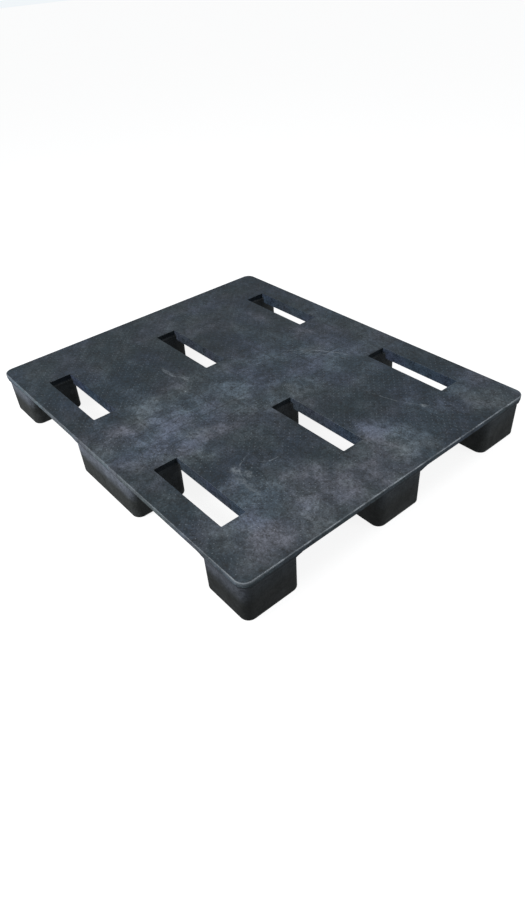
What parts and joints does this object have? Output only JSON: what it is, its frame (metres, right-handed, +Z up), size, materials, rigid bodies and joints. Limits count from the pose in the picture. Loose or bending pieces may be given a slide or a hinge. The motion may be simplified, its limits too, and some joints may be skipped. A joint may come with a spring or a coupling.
{
  "type": "plastic pallet",
  "caption": "Closed-deck plastic pallet with through slots, hollow block legs for four-way fork entry and hidden steel tubes",
  "frame": {"origin": "on the floor under the middle of the deck", "axes": "+X along the 1200 mm side and the slots, +Y along the 1000 mm side, +Z up"},
  "size_m": [1.2, 1, 0.13],
  "materials": {
    "deck_plastic": "charcoal recycled polyethylene, lightly grained, dusty and scuffed from use",
    "leg_plastic": "charcoal recycled polyethylene, smooth moulded sides, dusty",
    "tube_steel": "galvanised steel tube with soft mottled spangle"
  },
  "bodies": {
    "root": {"deck": "deck_plastic", "leg_front_left": "leg_plastic", "leg_front_middle": "leg_plastic", "leg_front_right": "leg_plastic", "leg_centre_left": "leg_plastic", "leg_centre_middle": "leg_plastic", "leg_centre_right": "leg_plastic", "leg_back_left": "leg_plastic", "leg_back_middle": "leg_plastic", "leg_back_right": "leg_plastic", "steel_tube_front": "tube_steel", "steel_tube_centre_front": "tube_steel", "steel_tube_centre_back": "tube_steel", "steel_tube_back": "tube_steel"}
  },
  "joints": []
}
